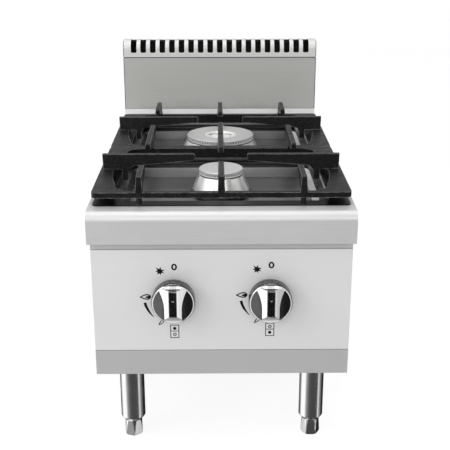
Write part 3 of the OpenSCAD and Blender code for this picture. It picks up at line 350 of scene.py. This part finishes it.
def castAlloy(name, colour, rough, grainScale=1400, metallic=0.85, corner=None, dark=0.35, clear=0.3,
              foot=None, dish=None):
    material, tree, shader = newMaterial(name)
    grain = evenNoise(tree, grainScale, 4.0, 0.6)
    clouds = evenNoise(tree, cast["clouds"])
    tint = ramp(tree, grain, [(0.3, scaled(colour, cast["darker"])),
                              (0.7, scaled(colour, cast["lighter"]))])
    if dish:
        side = combine(tree, "SUBTRACT", place(tree, "X"), dish["centre"].x)
        depth = combine(tree, "SUBTRACT", place(tree, "Y"), dish["centre"].y)
        inside = below(tree, reachOf(tree, side, depth), dish["radius"])
        tint = mixColour(tree, inside, tint, dish["colour"])
    # Painted shade in corners
    if corner:
        tint = paintCornerShade(tree, tint, corner, dark, dark + clear, cast["darkest"])
    # Painted shadow at the foot, below the given height
    if foot:
        low = remap(tree, place(tree, "Z"), 1, 0, foot, foot + cast["footFade"])
        tint = mixColour(tree, low, tint, cast["foot"])
    tree.links.new(tint, shader.inputs["Base Color"])
    low, high = rough * (1 - cast["roughSpread"]), rough * (1 + cast["roughSpread"])
    tree.links.new(remap(tree, clouds, low, high), shader.inputs["Roughness"])
    shader.inputs["Metallic"].default_value = metallic
    addBump(tree, shader, grain, cast["bump"], cast["depth"])
    return material


# Polished metal drawn along Z
polish = {"streaks": (1800, 1800, 12), "clouds": 30, "darker": 0.96, "roughLow": 0.7,
          "roughHigh": 1.4, "bump": 0.06, "depth": 0.03 * mm}


def polishedChrome(name, colour, rough):
    material, tree, shader = newMaterial(name)
    streaks = stretchedNoise(tree, polish["streaks"])
    clouds = evenNoise(tree, polish["clouds"], 2.0)
    tint = ramp(tree, streaks, [(0.3, scaled(colour, polish["darker"])), (0.7, colour)])
    tree.links.new(tint, shader.inputs["Base Color"])
    rough = remap(tree, clouds, rough * polish["roughLow"], rough * polish["roughHigh"])
    tree.links.new(rough, shader.inputs["Roughness"])
    shader.inputs["Metallic"].default_value = 1.0
    addBump(tree, shader, streaks, polish["bump"], polish["depth"])
    return material


# Knob chrome with painted reflections: a dark skirt outside the face, a dark crescent at its top, and a
# dark strip along the grip with a patch above it, all painted reflections of dark surroundings, and a
# rim and lower end that are matt.
# Widths run in from the edge, heights run up from the axis.
knob = {"skirt": 1.4 * mm, "rim": 3.3 * mm, "stripDepth": 1.0 * mm, "patchHalf": 5.6 * mm,
        "patchLow": 10.5 * mm, "patchHigh": 25.85 * mm, "crescent": 28.0 * mm,
        "crescentShare": 0.9, "lowEnd": -25.8 * mm, "mattFrom": 0.2, "mattMetallic": 0.15,
        "paintedReflectionMottle": 420, "dark": [(0.35, (0.05, 0.05, 0.052)), (0.55, (0.13, 0.13, 0.134)),
                                (0.7, (0.4, 0.4, 0.405))],
        "bright": [(0.3, (0.86, 0.85, 0.86)), (0.7, (0.93, 0.92, 0.93))]}


def knobChrome():
    material, tree, shader = newMaterial("knobChrome")
    streaks = stretchedNoise(tree, polish["streaks"])
    side, rise = fromKnobAxis(tree)
    reach = reachOf(tree, side, rise)
    skirt = above(tree, reach, knobRadius - knob["skirt"])
    strip = below(tree, place(tree, "Y"), knobFront + knob["stripDepth"])
    patch = combine(tree, "MULTIPLY", below(tree, combine(tree, "ABSOLUTE", side), knob["patchHalf"]),
                    between(tree, rise, knob["patchLow"], knob["patchHigh"]))
    crescent = combine(tree, "MULTIPLY", above(tree, rise, knob["crescent"]), knob["crescentShare"])
    # The dark masks are painted reflections of dark surroundings
    dark = combine(tree, "MAXIMUM", combine(tree, "MAXIMUM", skirt, strip),
                   combine(tree, "MAXIMUM", patch, crescent))
    paintedReflectionMottle = ramp(tree, evenNoise(tree, knob["paintedReflectionMottle"], 3.0, 0.6), knob["dark"])
    tint = mixColour(tree, dark, ramp(tree, streaks, knob["bright"]), paintedReflectionMottle)
    tree.links.new(tint, shader.inputs["Base Color"])
    tree.links.new(remap(tree, streaks, 0.08, 0.14), shader.inputs["Roughness"])
    ends = combine(tree, "MAXIMUM", above(tree, reach, knobRadius - knob["rim"]),
                   below(tree, rise, knob["lowEnd"]))
    matt = combine(tree, "MULTIPLY", ends, remap(tree, dark, 1, 0, 0, knob["mattFrom"]))
    tree.links.new(remap(tree, matt, 1, knob["mattMetallic"], 0, 1), shader.inputs["Metallic"])
    addBump(tree, shader, streaks, polish["bump"], polish["depth"])
    return material


# The knobs' inserts: dark lacquer, with painted light making the left one lighter than the right one
insert = {"streaks": (1500, 1500, 40), "left": (0.19, 0.19, 0.192), "right": 0.012,
          "halfWay": 22 * mm, "metallic": 0.3}


def insertLacquer():
    material, tree, shader = newMaterial("insertLacquer")
    streaks = stretchedNoise(tree, insert["streaks"])
    # Painted light: the insert left of the axis is lighter than the right one
    across = remap(tree, fromKnobAxis(tree)[0], 0, 1, -insert["halfWay"], insert["halfWay"])
    tint = mixColour(tree, across, insert["left"], insert["right"])
    grain = ramp(tree, streaks, [(0.3, 0.8), (0.7, 1.0)])
    tree.links.new(mixColour(tree, 1.0, tint, grain, "MULTIPLY"), shader.inputs["Base Color"])
    tree.links.new(remap(tree, streaks, 0.3, 0.4), shader.inputs["Roughness"])
    shader.inputs["Metallic"].default_value = insert["metallic"]
    return material


ink = {"grain": 1200, "low": 0.004, "high": 0.012, "specular": 0.1}


def printedInk():
    material, tree, shader = newMaterial("panelInk")
    grain = evenNoise(tree, ink["grain"])
    tint = ramp(tree, grain, [(0.3, ink["low"]), (0.7, ink["high"])])
    tree.links.new(tint, shader.inputs["Base Color"])
    tree.links.new(remap(tree, grain, 0.6, 0.75), shader.inputs["Roughness"])
    shader.inputs["Specular IOR Level"].default_value = ink["specular"]
    return material


castColour = (0.86, 0.86, 0.85)
finishes = {
    "stainless": brushedSteel("fasciaSteel", (0.72, 0.72, 0.72), 0.4, 0.3, corner=20 * mm),
    "flueSteel": brushedSteel("flueSteel", (0.58, 0.58, 0.56), 0.5, 0.35, corner=120 * mm, openAt=0.5,
                              ofFlue=True),
    "coverSteel": brushedSteel("coverSteel", (0.78, 0.78, 0.77), 0.45, 0.15, spread=0.03,
                               corner=60 * mm, openAt=0.6, ofFlue=True),
    "panelSteel": brushedSteel("panelSteel", (0.76, 0.76, 0.76), 0.62, 0.05, spread=0.02),
    "kickSteel": brushedSteel("kickSteel", (0.5, 0.5, 0.5), 0.6, 0.1, spread=0.03),
    "plated": brushedSteel("platedSheet", (0.55, 0.56, 0.58), 0.45, 1.0),
    "iron": castIron(),
    "tray": polishedTray(),
    "alloy": castAlloy("burnerAlloy", castColour, 0.3, corner=3.5 * mm),
    "baseAlloy": castAlloy("baseAlloy", castColour, 0.3, corner=14 * mm, dark=0.5,
                           foot=trayLow.z + 7 * mm),
    "headAlloy": castAlloy("headAlloy", (0.9, 0.9, 0.89), 0.5, metallic=0.0, corner=3.5 * mm,
                           dark=0.33, clear=0.13),
    "capAlloy": castAlloy("capAlloy", (0.66, 0.66, 0.66), 0.45, 900, metallic=0.4,
                          corner=3.5 * mm, dark=0.2, dish=rearDish),
    "valveAlloy": castAlloy("valveAlloy", (0.5, 0.5, 0.5), 0.5),
    "legSteel": polishedChrome("legSteel", (0.8, 0.8, 0.81), 0.2),
    "chrome": polishedChrome("stemChrome", (0.92, 0.91, 0.92), 0.09),
    "knob": knobChrome(),
    "insert": insertLacquer(),
    "brass": castAlloy("machinedBrass", (0.72, 0.5, 0.2), 0.3, 700, 1.0),
    "pipe": castAlloy("paintedPipe", (0.06, 0.06, 0.065), 0.5, 500, 0.0),
    "ceramic": castAlloy("glazedCeramic", (0.86, 0.84, 0.79), 0.2, 300, 0.0),
    "ink": printedInk(),
}
print("materials made:", len(finishes))

# Nodes whose finish isn't that of their slot
finishOf = {
    "flue_front": "flueSteel", "flue_shell": "flueSteel", "vent_cover": "coverSteel",
    "control_panel": "panelSteel", "kick_rail": "kickSteel",
    "burner_cap_front": "capAlloy", "burner_cap_rear": "capAlloy",
    "burner_head_front": "headAlloy", "burner_head_rear": "headAlloy",
    "burner_base_front": "baseAlloy", "burner_base_rear": "baseAlloy",
    "valve_left": "valveAlloy", "valve_right": "valveAlloy", "valve_clamps": "valveAlloy",
    "knob_left": "knob", "knob_right": "knob",
    "valve_stem_left": "chrome", "valve_stem_right": "chrome",
}
slotFinish = {
    "stainless": "stainless", "stainless_light": "panelSteel", "plated_sheet": "plated",
    "polished_tray": "tray", "chromed": "legSteel", "knob_insert": "insert",
    "enamelled_iron": "iron", "burner_alloy": "alloy", "gas_brass": "brass",
    "black_pipe": "pipe", "ceramic": "ceramic",
}


def finishFor(name):
    return finishOf.get(name, slotFinish[slotOf[name]])


def dress(piece, finish):
    piece.data.materials.clear()
    piece.data.materials.append(finishes[finish])


for name, cadNode in nodes.items():
    for slot in cadNode.material_slots:
        slot.material = finishes[finishFor(name)]

# Printed marks: thin plates on the panel, all in mm, across and up from each knob's axis
marks = {
    "ink": 0.06, "gap": 0.005,  # how far the plates stand out from the panel, front and back
    "sides": {"left": 6.5, "right": 9.0},  # how much each knob's marks are raised
    "zero": {"centre": (1.5, 44.2), "outer": (4.4, 5.4), "inner": (1.7, 3.0)},
    "spark": {"centre": (-20.2, 37.6),
              "angles": [15, 45, 78, 105, 132, 158, 182, 205, 232, 258, 285, 308, 335, 350],
              "radii": [7.6, 3.4, 7.0, 3.5, 8.4, 3.5, 6.7, 3.4, 7.0, 3.5, 6.4, 3.5, 7.9, 3.6]},
    "highFlame": {"outer": ((-51.9, -4.7), (-34.2, -4.2), 11),  # tip, end and width
                  "inner": ((-48.5, -4.6), (-36.0, -4.2), 6.5),
                  "core": ((-43.5, -5.0), (-35.2, -4.4), 5)},
    "sweep": {"points": [(-43.9, -13.9), (-41.5, -26.5), (-31.1, -37.7)], "widths": [4.4, 3.7, 0.9]},
    "lowFlame": {"outer": ((-24.0, -51.5), (-16.4, -43.9), 6.2),
                 "inner": ((-21.8, -49.4), (-17.6, -45.2), 3.2)},
    "box": {"low": (-6.4, -73.5), "high": (7.4, -51.2), "line": 1.2, "divider": -62.5},
    "burner": {"across": 0.5, "upper": -57.4, "lower": -67.3, "dot": 2.6, "ring": 2.7, "bore": 1.4},
}


# A plate from one outline, or from two with the same number of points, one inside the other
def inkPlate(name, loops, knobSide):
    axis = middle("valve_stem_" + knobSide)
    rise = np.array([0.0, marks["sides"][knobSide]])
    flat = (np.vstack(loops) + rise) * mm + (axis.x, axis.z)
    total, n = len(flat), len(loops[0])
    front, back = (np.column_stack([flat[:, 0], np.full(total, panelY - marks[key] * mm), flat[:, 1]])
                   for key in ("ink", "gap"))
    if len(loops) == 1:
        caps = [list(range(total)), list(range(2 * total - 1, total - 1, -1))]
    else:
        caps = [(i, (i + 1) % n, n + (i + 1) % n, n + i) for i in range(n)]
        caps += [(total + a, total + d, total + c, total + b) for a, b, c, d in caps]
    sides = [(start + i, total + start + i, total + start + (i + 1) % n, start + (i + 1) % n)
             for start in range(0, total, n) for i in range(n)]
    plate = addMesh(name, np.vstack([front, back]), caps + sides)
    recalcNormals(plate)
    dress(plate, "ink")
    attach(plate, "body")


# Points at even angles, at the two radii from the centre
def ellipse(centre, radii, count=40):
    t = np.linspace(0, 2 * np.pi, count, endpoint=False)
    return np.array(centre) + np.column_stack([radii[0] * np.cos(t), radii[1] * np.sin(t)])


def disc(centre, radius, count=28):
    return ellipse(centre, (radius, radius), count)


def rectangle(low, high):
    return np.array([low, (high[0], low[1]), high, (low[0], high[1])])


# A star: points at the given angles and distances from its centre
def star(centre, angles, radii):
    t = np.radians(angles)
    return np.array(centre) + np.column_stack([radii * np.cos(t), radii * np.sin(t)])


# A brush stroke along a line bent towards its middle point, whose width changes along it
def stroke(points, widths, count=24):
    t = np.linspace(0, 1, count)[:, None]
    a, b, c = np.array(points)
    line = (1 - t) ** 2 * a + 2 * t * (1 - t) * b + t ** 2 * c
    along = 2 * (1 - t) * (b - a) + 2 * t * (c - b)
    across = np.column_stack([-along[:, 1], along[:, 0]]) / np.linalg.norm(along, axis=1)[:, None]
    half = np.interp(t[:, 0], np.linspace(0, 1, len(widths)), widths)[:, None] / 2
    return np.vstack([line + across * half, (line - across * half)[::-1]])


# A flame: half the width times the sine of the angle, narrowed to a quarter towards the tip
def flame(tip, end, width, count=40):
    t = np.linspace(0, 2 * np.pi, count, endpoint=False)
    length = np.subtract(end, tip)
    across = np.array([-length[1], length[0]]) / np.hypot(*length)
    u = (1 - np.cos(t)) / 2
    v = np.sin(t) * (0.25 + 0.75 * np.sin(np.pi * u / 2))
    return np.array(tip) + u[:, None] * length + v[:, None] * across * width / 2


zero, burner, box = marks["zero"], marks["burner"], marks["box"]
boxInner = np.add(box["low"], box["line"]), np.subtract(box["high"], box["line"])
divider = rectangle((boxInner[0][0], box["divider"]), (boxInner[1][0], box["divider"] + box["line"]))
for side, dotAt, ringAt in (("left", "upper", "lower"), ("right", "lower", "upper")):
    dotCentre, ringCentre = ((burner["across"], burner[key]) for key in (dotAt, ringAt))
    plates = {
        "zero": [ellipse(zero["centre"], zero["outer"]), ellipse(zero["centre"], zero["inner"])],
        "spark": [star(**marks["spark"])],
        "flame_high": [flame(*marks["highFlame"]["outer"]), flame(*marks["highFlame"]["inner"])],
        "flame_core": [flame(*marks["highFlame"]["core"])],
        "sweep": [stroke(**marks["sweep"])],
        "flame_low": [flame(*marks["lowFlame"]["outer"]), flame(*marks["lowFlame"]["inner"])],
        "box": [rectangle(box["low"], box["high"]), rectangle(*boxInner)],
        "box_divider": [divider],
        "dot": [disc(dotCentre, burner["dot"])],
        "ring": [disc(ringCentre, burner["ring"]), disc(ringCentre, burner["bore"])],
    }
    for name, loops in plates.items():
        inkPlate(f"{name}_{side}", loops, side)
print("marks printed")

# How far the edges of each visible node are rounded, in mm
edgeWidths = {
    "top_frame": 0.8, "side_panel_left": 0.5, "side_panel_right": 0.5, "kick_rail": 0.6,
    "control_panel": 0.6, "rear_panel": 0.5, "flue_front": 0.5, "flue_shell": 0.5,
    "vent_cover": 0.5, "front_cross_rail": 0.4,
    "grate_front": 1.3, "grate_rear": 1.3,
    "spill_tray_front": 0.5, "spill_tray_rear": 0.5,
    "burner_base_front": 0.5, "burner_base_rear": 0.5, "burner_cap_front": 0.4,
    "burner_cap_rear": 0.4, "knob_left": 0.8, "knob_right": 0.8,
    "foot_front_left": 0.5, "foot_front_right": 0.5, "foot_rear_left": 0.5, "foot_rear_right": 0.5,
}
rounding = {"merge": 0.002 * mm, "flatAngle": 1.5, "sharpAngle": 28, "segments": 2, "flatWeight": 100}
keptTriangles = ("grate_front", "grate_rear")  # flat faces with a large hole stay in triangles


# A CAD node's own shape with its flat faces joined, its edges rounded and its curves smooth
def softenedCopy(name, width):
    mesh = nodes[name].data.copy()
    mesh.name = name + "_soft"
    bm = bmesh.new()
    bm.from_mesh(mesh)
    bmesh.ops.remove_doubles(bm, verts=bm.verts, dist=rounding["merge"])
    if name not in keptTriangles:
        flat = math.radians(rounding["flatAngle"])
        bmesh.ops.dissolve_limit(bm, angle_limit=flat, verts=bm.verts, edges=bm.edges)
    bm.to_mesh(mesh)
    bm.free()
    mesh.polygons.foreach_set("use_smooth", np.full(len(mesh.polygons), True))
    piece = bpy.data.objects.new(name + "_finish", mesh)
    scene.collection.objects.link(piece)
    bevel = piece.modifiers.new("edges", "BEVEL")
    bevel.width = width
    bevel.segments = rounding["segments"]
    bevel.limit_method = "ANGLE"
    bevel.angle_limit = math.radians(rounding["sharpAngle"])
    bevel.use_clamp_overlap = True
    weighted = piece.modifiers.new("flatFaces", "WEIGHTED_NORMAL")  # wide faces keep flat normals
    weighted.weight = rounding["flatWeight"]
    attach(piece, bodyOf[name])
    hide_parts(name)
    return piece


for name, width in edgeWidths.items():
    dress(softenedCopy(name, width * mm), finishFor(name))
print("edges softened:", len(edgeWidths))

# Lights: where each stands, its two sizes in metres and its power in watts
lights = {
    "topLight": ((0, -0.1, 2.3), (1.8, 1.8), 12),
    "leftLight": ((-2.0, -1.4, 1.4), (1.2, 1.6), 18),
    "rightLight": ((2.1, -1.2, 1.2), (1.0, 1.6), 3),
    "frontLight": ((0, -3.0, 1.5), (2.6, 1.2), 18),
}
lightTarget = (0, 0, 0.3)
for name, (spot, size, power) in lights.items():
    light = bpy.data.lights.new(name, "AREA")
    light.shape = "RECTANGLE"
    light.size, light.size_y = size
    light.energy = power
    lamp = bpy.data.objects.new(name, light)
    scene.collection.objects.link(lamp)
    lamp.location = spot
    direction = Vector(lightTarget) - Vector(spot)
    lamp.rotation_euler = direction.to_track_quat("-Z", "Y").to_euler()


def mixShaders(tree, share, first, second):
    made = node(tree, "ShaderNodeMixShader")
    tree.links.new(share, made.inputs["Fac"])
    tree.links.new(first, made.inputs[1])
    tree.links.new(second, made.inputs[2])
    return made.outputs[0]


# The floor: white to the camera but for its shadow, and left out of the object's reflections
floorLook = {"size": 8.0, "grain": 3, "low": 0.88, "high": 0.92, "rough": 0.7, "glow": 1.15,
             "glowShare": 0.76}
half = floorLook["size"] / 2
floor = addMesh("floor", [(-half, -half, 0), (half, -half, 0), (half, half, 0), (-half, half, 0)],
                [(0, 1, 2, 3)])
floorMaterial, tree, shader = newMaterial("paleFloor")
floorTint = ramp(tree, evenNoise(tree, floorLook["grain"], 2.0),
                 [(0.3, floorLook["low"]), (0.7, floorLook["high"])])
tree.links.new(floorTint, shader.inputs["Base Color"])
shader.inputs["Roughness"].default_value = floorLook["rough"]
rays = node(tree, "ShaderNodeLightPath")
cameraShare = combine(tree, "MULTIPLY", rays.outputs["Is Camera Ray"], floorLook["glowShare"])
clear = node(tree, "ShaderNodeBsdfTransparent").outputs[0]
glow = node(tree, "ShaderNodeEmission", Color=rgba(1.0), Strength=floorLook["glow"]).outputs[0]
mirrored = mixShaders(tree, rays.outputs["Is Glossy Ray"], shader.outputs[0], clear)
seen = mixShaders(tree, cameraShare, mirrored, glow)
tree.links.new(seen, tree.nodes["Material Output"].inputs["Surface"])
floor.data.materials.append(floorMaterial)

# The world: white behind the object, a soft sky for its light, and for its reflections a dark
# front, bright sides, a bright top, and below the horizon bands that run round by their angle.
# Each ramp runs from one end of its axis to the other, the bands from the back by the left.
sky = {
    "lightByHeight": [(0.35, 0.21), (0.5, 0.336), (0.8, 0.525)],
    "frontToBack": [(0.0, 0.12), (0.25, 0.22), (0.42, 0.6), (0.6, 0.6), (0.85, 0.55)],
    "leftToRight": [(0.0, 1.0), (0.3, 0.9), (0.45, 0.0), (0.62, 0.0), (0.8, 0.12)],
    "top": [(0.45, 1.1), (0.6, 0.75), (0.75, 0.3)],
    "topFrom": 0.42, "topFull": 0.62,
    "bands": [(0.0, 0.15), (0.15, 0.15), (0.21, 1.3), (0.33, 1.3), (0.345, 0.45), (0.43, 0.1),
              (0.5, 0.07), (0.665, 0.075), (0.68, 1.1), (0.715, 0.6), (0.74, 0.25), (0.79, 0.16),
              (0.8, 0.02)],
    "bandsFull": -0.12, "bandsEnd": 0.0,
}
world = bpy.data.worlds.new("studio")
scene.world = world
world.use_nodes = True
tree = world.node_tree
background = tree.nodes["Background"]
direction = node(tree, "ShaderNodeSeparateXYZ")
tree.links.new(node(tree, "ShaderNodeTexCoord").outputs["Generated"], direction.inputs[0])
x, y, z = (direction.outputs[axis] for axis in "XYZ")


def axisRamp(axis, stops):
    return ramp(tree, remap(tree, axis, 0, 1, -1, 1), sky[stops])


sides = mixColour(tree, 1.0, axisRamp(y, "frontToBack"), axisRamp(x, "leftToRight"), "LIGHTEN")
upper = mixColour(tree, remap(tree, z, 0, 1, sky["topFrom"], sky["topFull"]), sides, axisRamp(x, "top"))
turn = combine(tree, "ARCTAN2", x, combine(tree, "MULTIPLY", y, -1.0))
bands = ramp(tree, remap(tree, turn, 0, 1, -math.pi, math.pi), sky["bands"])
aboveHorizon = remap(tree, z, 0, 1, sky["bandsFull"], sky["bandsEnd"])
mirrored = mixColour(tree, aboveHorizon, bands, upper)
rays = node(tree, "ShaderNodeLightPath")
seen = mixColour(tree, rays.outputs["Is Glossy Ray"], axisRamp(z, "lightByHeight"), mirrored)
seen = mixColour(tree, rays.outputs["Is Camera Ray"], seen, 1.0)
tree.links.new(seen, background.inputs["Color"])
background.inputs["Strength"].default_value = 1.0

# The camera, worked out from the photo's perspective: its place in metres, from the nose in y,
# its angles in degrees, its lens and sensor in mm
view = {"x": -0.006, "y": -1.2426, "z": 0.8176, "pitch": 19.5, "yaw": 0.5, "roll": -0.07,
        "lens": 72, "sensor": 36}
cameraData = bpy.data.cameras.new("camera")
camera = bpy.data.objects.new("camera", cameraData)
scene.collection.objects.link(camera)
cameraData.sensor_width = view["sensor"]
cameraData.lens = view["lens"]
pitch, yaw, roll = (math.radians(view[k]) for k in ("pitch", "yaw", "roll"))
forward = Vector((math.sin(yaw) * math.cos(pitch), math.cos(yaw) * math.cos(pitch), -math.sin(pitch)))
right = forward.cross(Vector((0, 0, 1))).normalized()
up = right.cross(forward)
right, up = right * math.cos(roll) + up * math.sin(roll), up * math.cos(roll) - right * math.sin(roll)
stand = Matrix.Translation((view["x"], noseY + view["y"], view["z"]))
camera.matrix_world = stand @ Matrix((right, up, -forward)).transposed().to_4x4()
scene.camera = camera
scene.view_settings.view_transform = "Standard"
print("camera, lights and floor placed")
